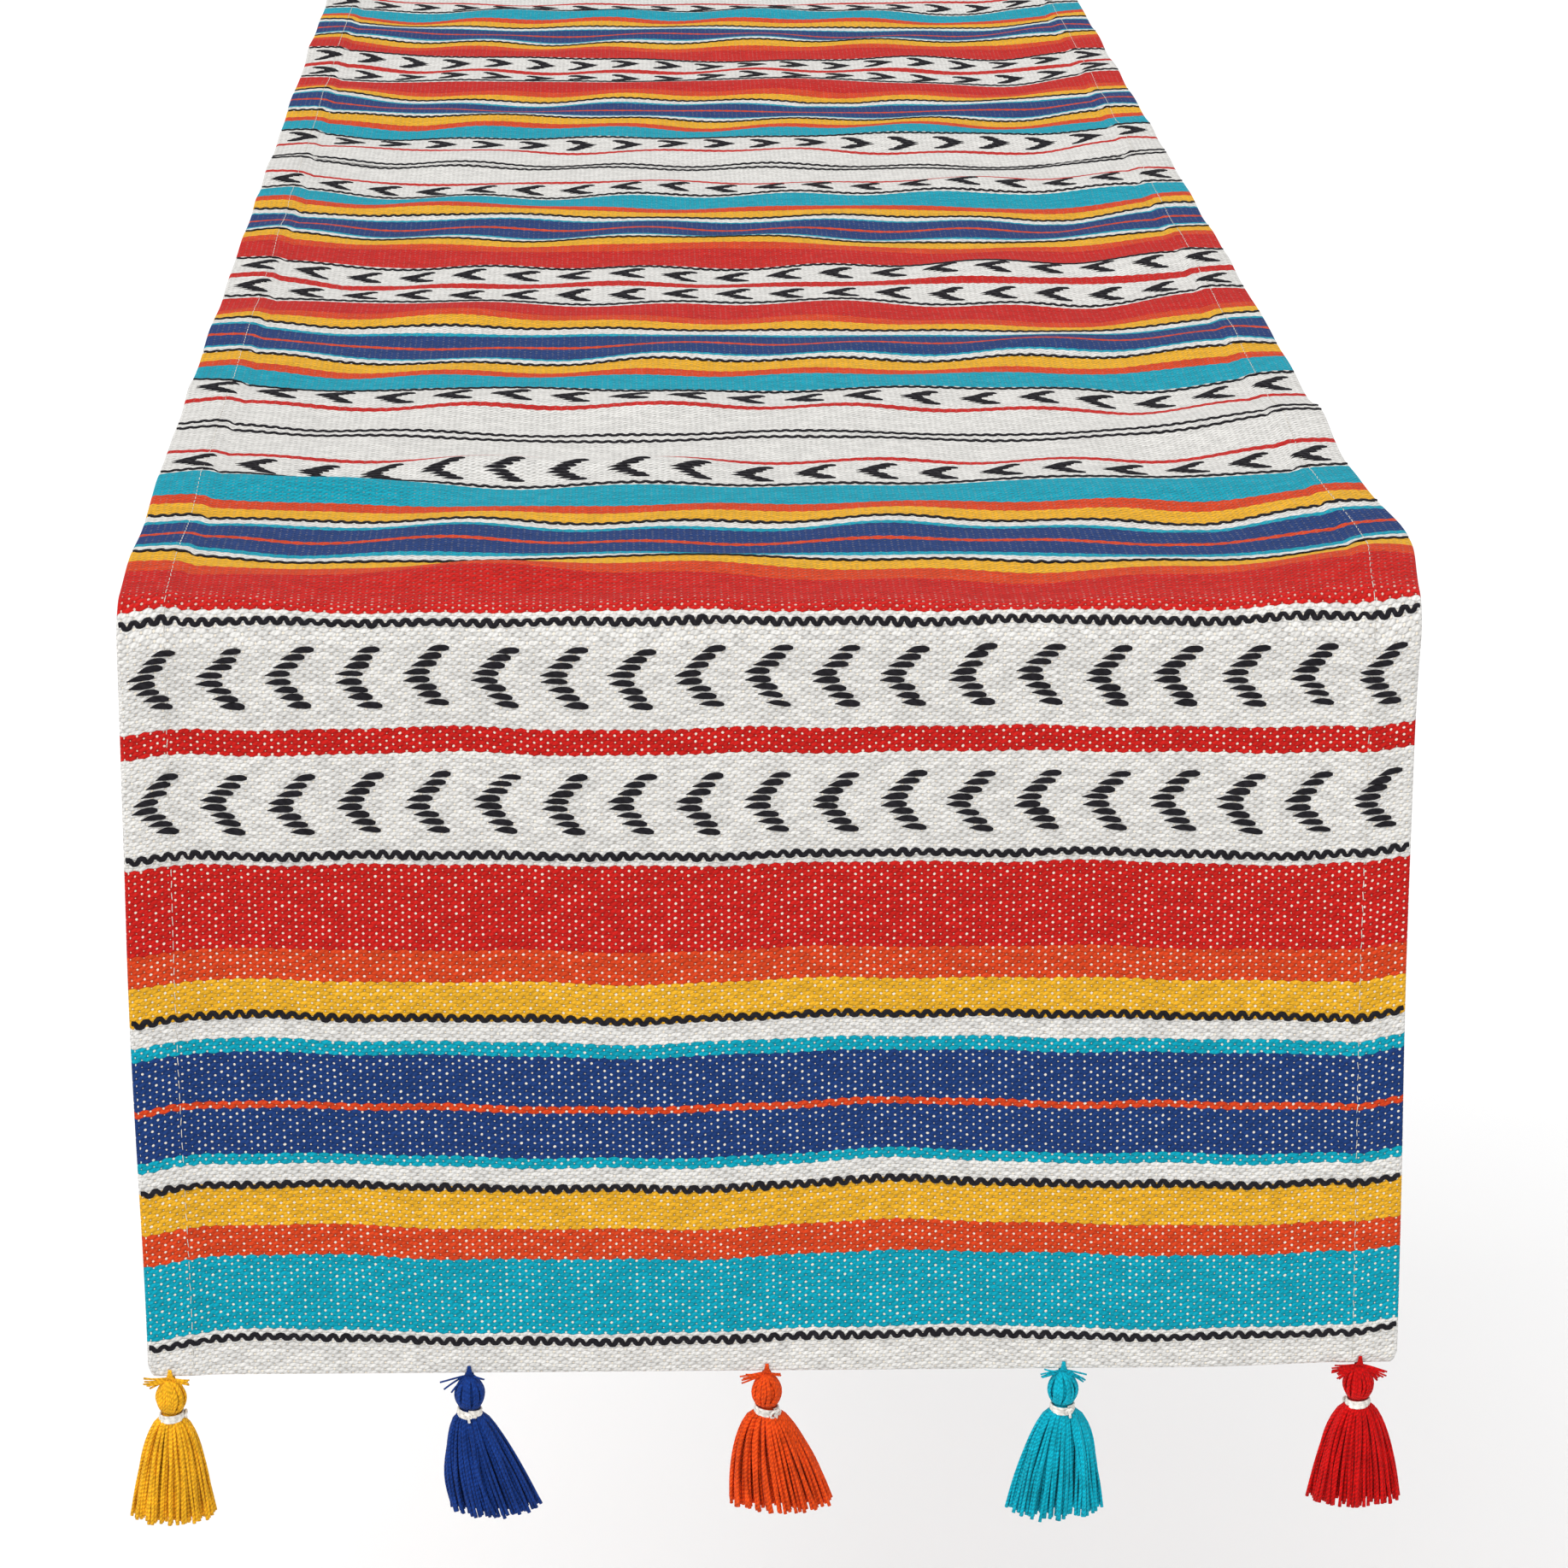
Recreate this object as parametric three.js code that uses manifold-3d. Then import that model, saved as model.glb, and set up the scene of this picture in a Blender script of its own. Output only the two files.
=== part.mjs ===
import * as THREE from 'three';
import { mergeVertices } from 'three/addons/utils/BufferGeometryUtils.js';
import Module from 'manifold-3d';

// A woven cotton table runner laid along a table, with an end hanging over each edge of the table
// and five yarn tassels tied through each end hem. Millimetres, +Z up, X across the runner and
// Y along it. The origin is on the table's surface, under the middle of the runner.
// One end is built facing -Y and named "front". The back end is the same, turned about Z.

const wasm = await Module();
wasm.setup();

// The runner is 14 x 72 inches from hem to hem.
const INCH = 25.4;
const WIDTH = 14 * INCH;
const LENGTH = 72 * INCH;
const DROP = 225; // how much of the runner hangs over each end of the table

const CLOTH = 1; // thickness of the woven cloth
const FOLD_DETAIL = 5; // curve segments for each round fold
const GAP = 0.3; // air between pieces that touch
const SIDE_FOLD = 14; // width turned under along each side
const END_FOLD = 10; // width turned under along each end
const HEM_STEP = 4; // distance over which the cloth rises onto its turned-under edge
const HEM_STACK = 2 * CLOTH + GAP;
const CORNER_GAP = 3; // from the outside of a hanging end to where the level cloth starts
const TOP_LENGTH = LENGTH - 2 * DROP;
const EDGE_Y = TOP_LENGTH / 2;
const HEM_Z = HEM_STACK - DROP;
const STEP_X = WIDTH / 2 - SIDE_FOLD - HEM_STEP; // where the flat middle of the cloth ends

const SEAM_THREAD = 0.5;
const SEAM_INSET = 1; // from a turned-under edge to its row of stitches
const SEAM_END = 2.5; // a row of stitches stops this short of the end of its cloth

const TASSEL_COLOURS = [
  ['yellow', 0xe0a020],
  ['blue', 0x1f3f8f],
  ['orange', 0xd8451c],
  ['turquoise', 0x109fb8],
  ['red', 0xc01818],
];
const TASSEL_INSET = 8.5; // from the runner's side to the middle of its outer tassels
const TASSEL_PITCH = (WIDTH - 2 * TASSEL_INSET) / (TASSEL_COLOURS.length - 1);

const HOLE_RISE = 2.6; // height of a tie's hole above the hem's edge
const HOLE_RADIUS = 1.1;
const TIE = 0.9; // thickness of the yarn that ties a tassel on
const TIE_REACH = HEM_STACK / 2 + 2 * GAP + TIE / 2;
const KNOT_DROP = 4.5; // from the hole down to the middle of the tie's knot
const KNOT_RADIUS = 0.8;
const TIE_END = 6.5; // length of each cut end of the tie
const TIE_END_SLOPE = 20; // degrees below level

const HEAD_RADIUS = 4.4;
const HEAD_HEIGHT = 9.6;
const NECK_RADIUS = 2.4;
const NECK_HEIGHT = 3.4;
const SKIRT_RADIUS = 12;
const SKIRT_LENGTH = 28.4;
const BINDING_HEIGHT = 2.6;
const BINDING_RADIUS = 3.4;
const BINDING_KNOT = 1;

const ROUND = 12; // sides of a turned shape

function cotton(colour, roughness = 0.9) {
  return new THREE.MeshStandardMaterial({ color: colour, roughness, metalness: 0 });
}

const clothMaterial = cotton(0xdedbd2);
const threadMaterial = cotton(0xe8e4d8);
const bindingMaterial = cotton(0xeeebe4);

function piece(name, geometry, material) {
  const mesh = new THREE.Mesh(geometry, material);
  mesh.name = name;
  return mesh;
}

function toSolid(geometry) {
  const bare = geometry.clone();
  bare.deleteAttribute('normal');
  bare.deleteAttribute('uv');
  const merged = mergeVertices(bare);
  return new wasm.Manifold(new wasm.Mesh({
    numProp: 3,
    vertProperties: new Float32Array(merged.attributes.position.array),
    triVerts: new Uint32Array(merged.index.array),
  }));
}

function toGeometry(solid) {
  const { vertProperties, triVerts } = solid.getMesh();
  const geometry = new THREE.BufferGeometry();
  geometry.setAttribute('position', new THREE.BufferAttribute(vertProperties, 3));
  geometry.setIndex(new THREE.BufferAttribute(triVerts, 1));
  geometry.computeVertexNormals();
  return geometry;
}

function joined(...geometries) {
  return toGeometry(geometries.map(toSolid).reduce((whole, next) => whole.add(next)));
}

// The cloth cut across: one ribbon with both edges turned under. Its flat middle lies on y = 0.
function clothSection() {
  const strip = WIDTH / 2 - SIDE_FOLD;
  const turn = WIDTH / 2 - HEM_STACK / 2;
  const middle = HEM_STACK / 2;
  const under = CLOTH + GAP;
  const section = new THREE.Shape();
  section.moveTo(strip, 0);
  section.lineTo(turn, 0);
  section.absarc(turn, middle, middle, -Math.PI / 2, Math.PI / 2);
  section.lineTo(strip, HEM_STACK);
  section.lineTo(STEP_X, CLOTH);
  section.lineTo(-STEP_X, CLOTH);
  section.lineTo(-strip, HEM_STACK);
  section.lineTo(-turn, HEM_STACK);
  section.absarc(-turn, middle, middle, Math.PI / 2, Math.PI * 1.5);
  section.lineTo(-strip, 0);
  section.lineTo(-strip, CLOTH);
  section.lineTo(-turn, CLOTH);
  section.absarc(-turn, middle, GAP / 2, Math.PI * 1.5, Math.PI / 2, true);
  section.lineTo(-strip, under);
  section.lineTo(-STEP_X, 0);
  section.lineTo(STEP_X, 0);
  section.lineTo(strip, under);
  section.lineTo(turn, under);
  section.absarc(turn, middle, GAP / 2, Math.PI / 2, -Math.PI / 2, true);
  section.lineTo(strip, CLOTH);
  return section;
}

function clothRun(length) {
  return new THREE.ExtrudeGeometry(clothSection(), {
    depth: length,
    bevelEnabled: false,
    curveSegments: FOLD_DETAIL,
  });
}

// The level cloth stops short of the table's edges, where the hanging ends take over.
function topCloth() {
  const length = TOP_LENGTH - 2 * CORNER_GAP;
  const geometry = clothRun(length);
  geometry.rotateX(Math.PI / 2);
  geometry.translate(0, length / 2, 0);
  return geometry;
}

// The end hem: the cloth turns round at its lowest edge and runs back up behind itself.
function endFold() {
  const turn = HEM_STACK / 2;
  const fold = new THREE.Shape();
  fold.moveTo(CLOTH, turn);
  fold.absarc(-GAP / 2, turn, turn, 0, -Math.PI, true);
  fold.lineTo(-CLOTH - GAP, END_FOLD);
  fold.lineTo(-GAP, END_FOLD);
  fold.lineTo(-GAP, turn);
  fold.absarc(-GAP / 2, turn, GAP / 2, Math.PI, 0);
  fold.lineTo(0, turn + CLOTH);
  fold.lineTo(CLOTH, turn + CLOTH);
  const geometry = new THREE.ExtrudeGeometry(fold, {
    depth: 2 * (STEP_X - CLOTH),
    bevelEnabled: false,
    curveSegments: FOLD_DETAIL,
  });
  // The fold's outline is (outward, up), and it runs along X.
  const toEnd = new THREE.Matrix4().makeBasis(
    new THREE.Vector3(0, -1, 0),
    new THREE.Vector3(0, 0, 1),
    new THREE.Vector3(-1, 0, 0),
  );
  geometry.applyMatrix4(toEnd);
  geometry.translate(STEP_X - CLOTH, HEM_STACK - EDGE_Y, HEM_Z);
  return geometry;
}

function tasselX(index) {
  return (index - (TASSEL_COLOURS.length - 1) / 2) * TASSEL_PITCH;
}

// The middle of the two layers of cloth that a tassel's hole goes through. The outer two tassels
// go through the turned-under sides, which stand further out than the rest of the hem.
function hemMiddleY(index) {
  const inSideHem = Math.abs(tasselX(index)) > WIDTH / 2 - SIDE_FOLD;
  const outward = inSideHem ? HEM_STACK / 2 : -GAP / 2;
  return HEM_STACK - EDGE_Y - outward;
}

function tieHole(index) {
  const throughHem = 2 * HEM_STACK;
  const hole = new THREE.CylinderGeometry(HOLE_RADIUS, HOLE_RADIUS, throughHem, 8);
  hole.translate(tasselX(index), hemMiddleY(index), HEM_Z + HOLE_RISE);
  return hole;
}

function dropCloth() {
  const panel = clothRun(DROP);
  panel.rotateZ(Math.PI);
  panel.translate(0, HEM_STACK - EDGE_Y, HEM_Z);
  const squareEdge = new THREE.BoxGeometry(2 * (STEP_X - CLOTH), 2 * HEM_STACK, HEM_STACK);
  squareEdge.translate(0, HEM_STACK - EDGE_Y, HEM_Z);
  let cloth = toSolid(panel).subtract(toSolid(squareEdge)).add(toSolid(endFold()));
  TASSEL_COLOURS.forEach((_, index) => {
    cloth = cloth.subtract(toSolid(tieHole(index)));
  });
  return toGeometry(cloth);
}

// A straight row of stitches, drawn as the thread it leaves on the face of the cloth.
function seam(length) {
  return new THREE.CylinderGeometry(SEAM_THREAD / 2, SEAM_THREAD / 2, length, 6);
}

const seamLift = GAP + SEAM_THREAD / 2;
const sideSeamX = WIDTH / 2 - SIDE_FOLD + SEAM_INSET;

function topSeam(side) {
  const thread = seam(TOP_LENGTH - 2 * (CORNER_GAP + SEAM_END));
  thread.translate(side * sideSeamX, 0, HEM_STACK + seamLift);
  return thread;
}

function dropSideSeam(side) {
  const thread = seam(DROP - 2 * SEAM_END).rotateX(Math.PI / 2);
  thread.translate(side * sideSeamX, -EDGE_Y - seamLift, HEM_Z + DROP / 2);
  return thread;
}

function endHemSeam() {
  const thread = seam(2 * (STEP_X - SEAM_END)).rotateZ(Math.PI / 2);
  const face = HEM_STACK - CLOTH - EDGE_Y;
  thread.translate(0, face - seamLift, HEM_Z + END_FOLD - SEAM_INSET);
  return thread;
}

// The shapes below are built round a tassel's knot, which is their origin.

// The tie goes up the face of the hem, through its hole and down behind to the knot, and both of
// its cut ends stick out to the sides, a little downward.
function tie() {
  const side = [
    [0, 0],
    [TIE_REACH * 0.9, KNOT_DROP * 0.3],
    [TIE_REACH, KNOT_DROP * 0.8],
    [TIE_REACH - TIE / 2, KNOT_DROP * 0.98],
  ];
  const front = side.map(([reach, up]) => new THREE.Vector3(0, -reach, up));
  const back = side.map(([reach, up]) => new THREE.Vector3(0, reach, up)).reverse();
  const route = new THREE.CatmullRomCurve3([...front, new THREE.Vector3(0, 0, KNOT_DROP), ...back]);
  const yarn = new THREE.Shape().absarc(0, 0, TIE / 2, 0, 2 * Math.PI);
  const loop = new THREE.ExtrudeGeometry(yarn, {
    steps: 16,
    curveSegments: 3,
    extrudePath: route,
  });
  const knot = new THREE.SphereGeometry(KNOT_RADIUS, 8, 6);
  return joined(loop, knot, cutEnd(-1), cutEnd(1));
}

function cutEnd(side) {
  const end = new THREE.CylinderGeometry(TIE / 2, TIE / 2, TIE_END, 6);
  end.translate(0, -TIE_END / 2, 0);
  end.rotateZ(side * THREE.MathUtils.degToRad(90));
  end.rotateY(side * THREE.MathUtils.degToRad(TIE_END_SLOPE));
  return end;
}

function lathe(outline) {
  return new THREE.LatheGeometry(outline.map(([x, y]) => new THREE.Vector2(x, y)), ROUND)
    .rotateX(Math.PI / 2);
}

const headTop = -KNOT_RADIUS - GAP;
const neckTop = headTop - HEAD_HEIGHT;
const neckEnd = neckTop - NECK_HEIGHT;
const skirtEnd = neckEnd - SKIRT_LENGTH;

// One hank of yarn, folded over its tie and bound below the fold: a ball, a neck and a skirt.
function hank() {
  const head = (share) => headTop - share * HEAD_HEIGHT;
  const skirt = (share) => neckEnd - share * SKIRT_LENGTH;
  const outline = [
    [0, skirtEnd],
    [SKIRT_RADIUS, skirtEnd],
    [SKIRT_RADIUS * 0.95, skirt(0.7)],
    [SKIRT_RADIUS * 0.72, skirt(0.33)],
    [NECK_RADIUS + CLOTH, skirt(0.05)],
    [NECK_RADIUS, neckEnd],
    [NECK_RADIUS, neckTop],
    [HEAD_RADIUS * 0.93, head(0.72)],
    [HEAD_RADIUS, head(0.45)],
    [HEAD_RADIUS * 0.82, head(0.18)],
    [HEAD_RADIUS * 0.5, head(0.04)],
    [0, headTop],
  ];
  return lathe(outline);
}

// White cotton wound round the neck, with its own knot on the outside.
function binding(knotAngle) {
  const inside = NECK_RADIUS + GAP;
  const low = neckEnd + (NECK_HEIGHT - BINDING_HEIGHT) / 2;
  const high = low + BINDING_HEIGHT;
  const round = BINDING_HEIGHT / 5;
  const winding = lathe([
    [inside, low],
    [BINDING_RADIUS - round / 2, low],
    [BINDING_RADIUS, low + round],
    [BINDING_RADIUS, high - round],
    [BINDING_RADIUS - round / 2, high],
    [inside, high],
    [inside, low],
  ]);
  const knot = new THREE.SphereGeometry(BINDING_KNOT, 8, 6);
  knot.translate(BINDING_RADIUS + BINDING_KNOT / 2, 0, (low + high) / 2);
  knot.rotateZ(THREE.MathUtils.degToRad(knotAngle));
  return joined(winding, knot);
}

const BINDING_KNOT_ANGLES = [0, -90, -30, -90, 180]; // 0 is towards +X, -90 is outward

function tassel(end, index) {
  const [, colour] = TASSEL_COLOURS[index];
  const name = `${end}_tassel_${index + 1}`;
  const yarnMaterial = cotton(colour, 0.75);
  const hanging = new THREE.Group();
  hanging.add(
    piece(`${name}_tie`, tie(), yarnMaterial),
    piece(`${name}_yarn`, hank(), yarnMaterial),
    piece(`${name}_binding`, binding(BINDING_KNOT_ANGLES[index]), bindingMaterial),
  );
  hanging.position.set(tasselX(index), hemMiddleY(index), HEM_Z + HOLE_RISE - KNOT_DROP);
  return hanging;
}

function hangingEnd(end) {
  const group = new THREE.Group();
  group.add(
    piece(`${end}_drop_cloth`, dropCloth(), clothMaterial),
    piece(`${end}_drop_left_seam`, dropSideSeam(-1), threadMaterial),
    piece(`${end}_drop_right_seam`, dropSideSeam(1), threadMaterial),
    piece(`${end}_hem_seam`, endHemSeam(), threadMaterial),
    ...TASSEL_COLOURS.map((_, index) => tassel(end, index)),
  );
  return group;
}

const runner = new THREE.Group();
const backEnd = hangingEnd('back');
backEnd.rotation.z = Math.PI;
runner.add(
  piece('top_cloth', topCloth(), clothMaterial),
  piece('top_left_seam', topSeam(-1), threadMaterial),
  piece('top_right_seam', topSeam(1), threadMaterial),
  hangingEnd('front'),
  backEnd,
);

export default runner;
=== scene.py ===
"""A striped, hand-woven cotton table runner with five yarn tassels along each end.

The cloth, its woven-in threads, its stitches and its tassels are built here in millimetres, in the
frame's axes, and the tassels ride on the CAD bodies. One end is built facing -Y and called "front".
The back end is the same construction turned about Z, with its own folds and its own tassels' shapes.
"""

import math
from typing import NamedTuple

import bpy
import numpy as np
from mathutils import Matrix, Vector


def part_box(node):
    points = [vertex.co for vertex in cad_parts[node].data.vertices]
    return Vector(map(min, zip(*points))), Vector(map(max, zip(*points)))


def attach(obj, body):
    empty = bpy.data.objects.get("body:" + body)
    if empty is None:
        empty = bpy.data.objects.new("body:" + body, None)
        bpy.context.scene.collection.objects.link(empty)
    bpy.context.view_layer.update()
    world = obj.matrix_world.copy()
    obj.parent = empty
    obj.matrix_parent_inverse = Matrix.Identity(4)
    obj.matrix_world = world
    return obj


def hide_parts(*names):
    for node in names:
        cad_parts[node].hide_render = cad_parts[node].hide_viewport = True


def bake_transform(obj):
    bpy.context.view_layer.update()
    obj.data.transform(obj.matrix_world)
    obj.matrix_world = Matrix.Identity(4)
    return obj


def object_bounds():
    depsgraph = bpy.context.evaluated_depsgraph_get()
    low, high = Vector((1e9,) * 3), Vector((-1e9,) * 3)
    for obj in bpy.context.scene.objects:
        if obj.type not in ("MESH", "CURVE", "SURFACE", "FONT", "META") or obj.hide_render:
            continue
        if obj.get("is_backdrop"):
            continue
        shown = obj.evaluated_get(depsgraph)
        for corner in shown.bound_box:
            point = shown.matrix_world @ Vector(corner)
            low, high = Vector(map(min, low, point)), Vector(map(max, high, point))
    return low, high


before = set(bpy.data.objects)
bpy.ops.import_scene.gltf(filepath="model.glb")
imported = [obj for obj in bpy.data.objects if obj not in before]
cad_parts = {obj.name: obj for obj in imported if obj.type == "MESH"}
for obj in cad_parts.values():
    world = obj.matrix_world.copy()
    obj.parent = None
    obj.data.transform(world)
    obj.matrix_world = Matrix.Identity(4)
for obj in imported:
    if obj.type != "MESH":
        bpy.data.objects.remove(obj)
cad_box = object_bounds()

MM = 0.001
TAU = 2 * math.pi

# The cloth's sizes, from the hanging front end of the frame.
drop_low, drop_high = (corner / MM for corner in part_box("front_drop_cloth"))
HALF_WIDTH = drop_high.x
EDGE_Y = -drop_low.y
HEM_Z = drop_low.z
HALF_LENGTH = 914.4

# How thick the cloth is, the gap between a hem's layers, its thickness, and the radius it turns with.
CLOTH = 1.0
GAP = 0.3
HEM_STACK = 2 * CLOTH + GAP
TURN = HEM_STACK / 2

# How much cloth is turned under at the sides and at the ends, and the width of the slope where
# the outer layer comes down from a side hem.
SIDE_FOLD = 14.0
END_FOLD = 10.0
HEM_STEP = 4.0

# The path of the inner face, from the hem. It climbs at PANEL_Y, bends over the table's edge with
# the radius ROLL until ROLL_END, and is level from there. LEVEL_SCALE makes it end over the origin.
# FOLD_START is the cut edge in the hem.
PANEL_Y = EDGE_Y - HEM_STACK
ROLL = 8.0
CLIMB = -ROLL - (HEM_Z + TURN)
ROLL_END = TURN + CLIMB + (ROLL + CLOTH / 2) * math.pi / 2
LEVEL_SCALE = (PANEL_Y - ROLL) / (HALF_LENGTH - ROLL_END)
FOLD_START = TURN - math.pi * TURN - (END_FOLD - TURN)

# The stripes are mirrored about this distance from the hem, and repeat.
STRIPE_CENTRE = 187.4
STRIPE_REPEAT = 484.7

# The weave's repeat across the cloth and along it.
WEFT_PERIOD = 3.68
WEFT_ROWS = 2.06

# In metres and degrees, but the lens and its sensor in millimetres. The camera is turned to its
# right, tipped down and leant over.
CAMERA_PLACE = (-0.042, -2.09, 0.37)
CAMERA_TURN = 1.88
CAMERA_TIP = 16.6
CAMERA_LEAN = 0.3
LENS_LENGTH = 122
SENSOR_WIDTH = 36
TABLE_HEIGHT = 0.75
FLOOR_SIZE = 60


# ---------------------------------------------------------------- camera, light and floor


def make_camera():
    """A long lens, a little left of the runner's near end and above it, looking down at it."""
    lens = bpy.data.cameras.new("camera")
    lens.lens = LENS_LENGTH
    lens.sensor_width = SENSOR_WIDTH
    camera = bpy.data.objects.new("camera", lens)
    turn = Matrix.Rotation(-math.radians(CAMERA_TURN), 3, "Z")
    tilt = Matrix.Rotation(math.radians(90 - CAMERA_TIP), 3, "X")
    lean = Matrix.Rotation(math.radians(CAMERA_LEAN), 3, "Z")
    camera.matrix_world = Matrix.Translation(CAMERA_PLACE) @ (turn @ tilt @ lean).to_4x4()
    bpy.context.collection.objects.link(camera)
    bpy.context.scene.camera = camera


def make_light(name, place, softness, strength):
    """A broad, even light that shines on the origin from this direction."""
    light = bpy.data.lights.new(name, "SUN")
    light.angle = math.radians(softness)
    light.energy = strength
    lamp = bpy.data.objects.new(name, light)
    lamp.location = place
    lamp.rotation_euler = (-Vector(place)).to_track_quat("-Z", "Y").to_euler()
    bpy.context.collection.objects.link(lamp)


def make_studio():
    """Plain white surroundings, with a soft main light and a weaker one from behind."""
    scene = bpy.context.scene
    scene.view_settings.view_transform = "Standard"
    world = bpy.data.worlds.new("studio")
    world.use_nodes = True
    background = world.node_tree.nodes["Background"]
    background.inputs["Color"].default_value = (1, 1, 1, 1)
    background.inputs["Strength"].default_value = 0.6
    scene.world = world
    make_light("key", place=(-1.2, -1.6, 2.9), softness=55, strength=1.9)
    make_light("fill", place=(1.6, 2.4, 2.6), softness=50, strength=0.45)


def make_floor():
    """The floor that the table would stand on."""
    bpy.ops.mesh.primitive_plane_add(size=FLOOR_SIZE, location=(0, 0, -TABLE_HEIGHT))
    floor = bpy.context.object
    floor.name = "floor"
    graph = Graph("pale_floor")
    grain = graph.noise(graph.object_place(), scale=3.0)
    graph.link(graph.mix(grain, (0.92, 0.92, 0.92), (0.95, 0.95, 0.95)), graph.shader["Base Color"])
    graph.shader["Roughness"].default_value = 0.9
    floor.data.materials.append(graph.material)
    floor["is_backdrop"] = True


# ---------------------------------------------------------------- materials


def linear(red, green, blue):
    """A colour given in 0-255 screen values, as the light it stands for."""
    return tuple(((c / 255 + 0.055) / 1.055) ** 2.4 for c in (red, green, blue))


class Graph:
    """A material, with short ways to add and join its nodes."""

    def __init__(self, name):
        self.material = bpy.data.materials.new(name)
        self.material.use_nodes = True
        self.tree = self.material.node_tree
        self.shader = self.tree.nodes["Principled BSDF"].inputs

    def link(self, value, socket):
        if isinstance(value, bpy.types.NodeSocket):
            self.tree.links.new(value, socket)
        elif isinstance(value, tuple):
            socket.default_value = (*value, 1) if len(socket.default_value) == 4 else value
        else:
            socket.default_value = value

    def math(self, operation, *values):
        node = self.tree.nodes.new("ShaderNodeMath")
        node.operation = operation
        for value, socket in zip(values, node.inputs):
            self.link(value, socket)
        return node.outputs[0]

    def step(self, value, low, high, to_low=0.0, to_high=1.0):
        """Goes smoothly from to_low to to_high as value goes from low to high."""
        node = self.tree.nodes.new("ShaderNodeMapRange")
        node.interpolation_type = "SMOOTHSTEP"
        for socket, item in zip(node.inputs, (value, low, high, to_low, to_high)):
            self.link(item, socket)
        return node.outputs[0]

    def mix(self, share, first, second, blend="MIX"):
        node = self.tree.nodes.new("ShaderNodeMix")
        node.data_type = "RGBA"
        node.blend_type = blend
        colours = [socket for socket in node.inputs if socket.type == "RGBA"]
        self.link(share, node.inputs[0])
        self.link(first, colours[0])
        self.link(second, colours[1])
        return next(socket for socket in node.outputs if socket.type == "RGBA")

    def pick(self, share, first, second):
        """A number: first where share is 0 and second where it is 1."""
        node = self.tree.nodes.new("ShaderNodeMix")
        self.link(share, node.inputs[0])
        self.link(first, node.inputs[2])
        self.link(second, node.inputs[3])
        return node.outputs[0]

    def vector(self, x, y, z=0.0):
        node = self.tree.nodes.new("ShaderNodeCombineXYZ")
        for value, socket in zip((x, y, z), node.inputs):
            self.link(value, socket)
        return node.outputs[0]

    def uv(self, name):
        """The two coordinates of a piece's map."""
        node = self.tree.nodes.new("ShaderNodeUVMap")
        node.uv_map = name
        split = self.tree.nodes.new("ShaderNodeSeparateXYZ")
        self.link(node.outputs[0], split.inputs[0])
        return split.outputs[0], split.outputs[1]

    def object_place(self):
        return self.tree.nodes.new("ShaderNodeTexCoord").outputs["Object"]

    def noise(self, place, scale, detail=2.0):
        node = self.tree.nodes.new("ShaderNodeTexNoise")
        self.link(place, node.inputs["Vector"])
        node.inputs["Scale"].default_value = scale
        node.inputs["Detail"].default_value = detail
        return node.outputs[0]

    def chance(self, place):
        """A random number for each whole place."""
        node = self.tree.nodes.new("ShaderNodeTexWhiteNoise")
        node.noise_dimensions = "3D"
        self.link(place, node.inputs["Vector"])
        return node.outputs["Value"]

    def bump(self, height, depth, strength=1.0):
        node = self.tree.nodes.new("ShaderNodeBump")
        node.inputs["Distance"].default_value = depth
        node.inputs["Strength"].default_value = strength
        self.link(height, node.inputs["Height"])
        self.link(node.outputs[0], self.shader["Normal"])

    def soft_finish(self, roughness, sheen):
        self.shader["Roughness"].default_value = roughness
        self.shader["Specular IOR Level"].default_value = 0.1
        self.shader["Sheen Weight"].default_value = sheen
        self.shader["Sheen Roughness"].default_value = 0.45


WHITE = linear(228, 226, 222)
RED = linear(199, 31, 26)
ORANGE = linear(214, 68, 30)
YELLOW = linear(234, 174, 42)
BLUE = linear(30, 60, 118)
TURQUOISE = linear(8, 159, 182)
BLACK = linear(34, 32, 37)
THREAD = linear(222, 217, 207)
BINDING = linear(240, 236, 228)

# The stripes from the middle of a mirrored group outward: where each ends, and its colour.
STRIPES = [
    (3.5, RED),
    (35.9, WHITE),
    (60.4, RED),
    (68.2, ORANGE),
    (80.1, YELLOW),
    (86.8, WHITE),
    (90.2, TURQUOISE),
    (104.2, BLUE),
    (107.5, ORANGE),
    (120.9, BLUE),
    (123.8, TURQUOISE),
    (130.3, WHITE),
    (142.9, YELLOW),
    (150.9, ORANGE),
    (173.9, TURQUOISE),
    (205.3, WHITE),
    (208.6, RED),
    (STRIPE_REPEAT / 2, WHITE),
]


def stripe_colour(graph, distance):
    """The colour of the weft at this distance from the hem."""
    half = STRIPE_REPEAT / 2
    folded = graph.math("PINGPONG", graph.math("SUBTRACT", distance, STRIPE_CENTRE), half)
    node = graph.tree.nodes.new("ShaderNodeValToRGB")
    ramp = node.color_ramp
    ramp.interpolation = "CONSTANT"
    start = 0.0
    for index, (end, colour) in enumerate(STRIPES):
        stop = ramp.elements[index] if index < 2 else ramp.elements.new(start / half)
        stop.position = start / half
        stop.color = (*colour, 1)
        start = end
    graph.link(graph.math("DIVIDE", folded, half), node.inputs[0])
    return node.outputs[0]


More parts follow.
